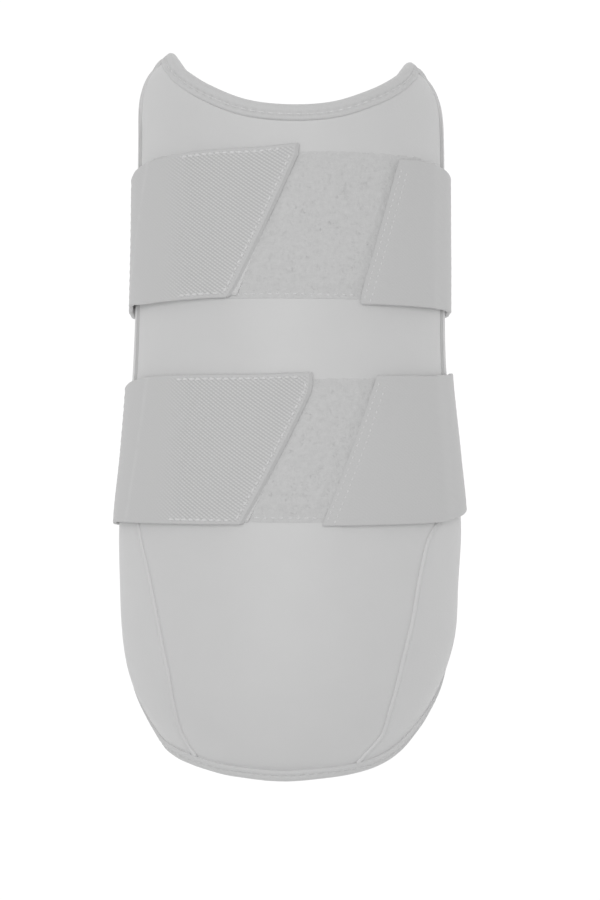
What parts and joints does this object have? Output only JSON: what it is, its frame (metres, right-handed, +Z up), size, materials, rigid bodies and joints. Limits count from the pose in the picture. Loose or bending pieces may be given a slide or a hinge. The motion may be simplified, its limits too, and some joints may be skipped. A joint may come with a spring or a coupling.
{
  "type": "elbow guard",
  "caption": "Padded half-sleeve elbow guard with a smooth leather face, bound edges, piped side seams and elastic hook-and-loop straps that close round the arm.",
  "frame": {"origin": "on the table under the middle of the guard, which lies on the backs of its closed straps", "axes": "+X to the right of the face, +Y along the arm to the scooped upper-arm end, +Z up out of the face"},
  "size_m": [0.1252, 0.2505, 0.0999],
  "materials": {
    "leather": "smooth white synthetic leather with a soft sheen",
    "binding": "white folded tape with a run of stitches",
    "webbing": "white twill-ribbed elastic webbing, matte",
    "loop_pile": "white brushed loop pile, fuzzy",
    "hook_tape": "white moulded hook tape",
    "lining": "white knitted lining over foam"
  },
  "bodies": {
    "root": {"foam_pad": "lining", "front_panel": "leather", "side_panel_left": "leather", "side_panel_right": "leather", "edge_binding": "binding", "seam_piping_left": "leather", "seam_piping_right": "leather", "upper_loop_patch": "loop_pile", "upper_hook_tape": "hook_tape", "upper_strap": "webbing", "lower_loop_patch": "loop_pile", "lower_hook_tape": "hook_tape", "lower_strap": "webbing"}
  },
  "joints": []
}
